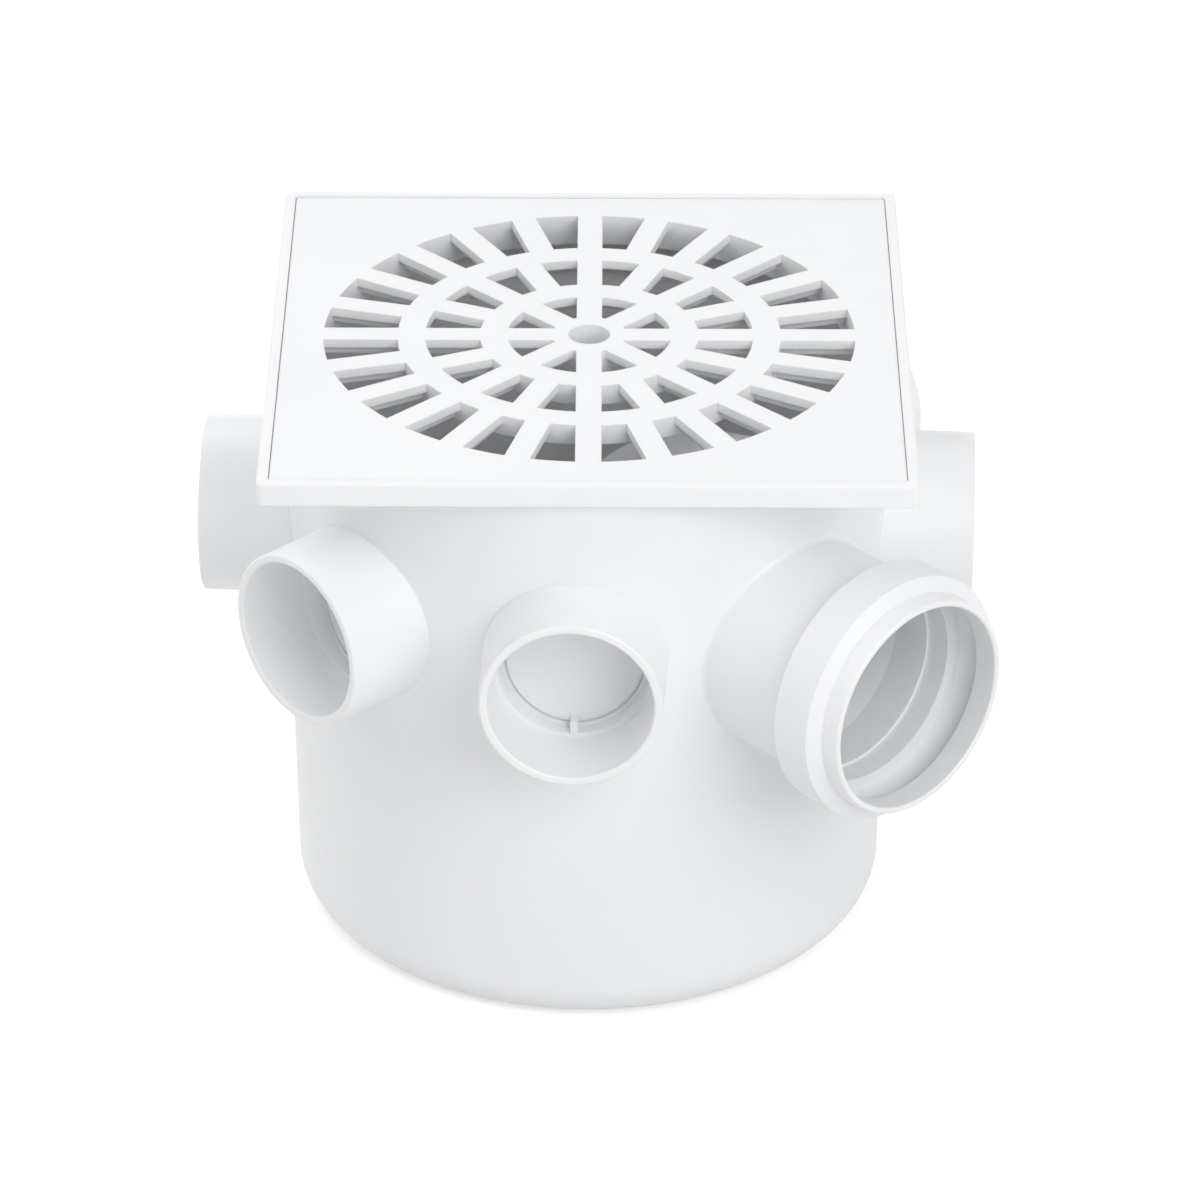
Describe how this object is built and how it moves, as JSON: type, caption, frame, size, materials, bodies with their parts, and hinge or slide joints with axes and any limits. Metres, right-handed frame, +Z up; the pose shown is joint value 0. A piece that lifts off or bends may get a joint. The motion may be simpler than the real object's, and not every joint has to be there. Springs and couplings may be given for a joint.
{
  "type": "trapped floor drain",
  "caption": "Round white plastic floor drain with a water trap, pipe sockets all round, a larger outlet socket and a square slotted grille on top.",
  "frame": {"origin": "centre of the pot's flat underside, on the pot's axis", "axes": "+Z up along the pot's axis; the inlets and the outlet stand every 45 degrees, with the front inlet along -Y, the right inlet along +X and the outlet between them"},
  "size_m": [0.2012, 0.2012, 0.1573],
  "materials": {
    "white_pvc": "smooth moulded white PVC with a soft gloss"
  },
  "bodies": {
    "root": {"body": "white_pvc", "trap_hood": "white_pvc", "cleanout_plug": "white_pvc", "grille_frame": "white_pvc", "grille": "white_pvc"}
  },
  "joints": []
}
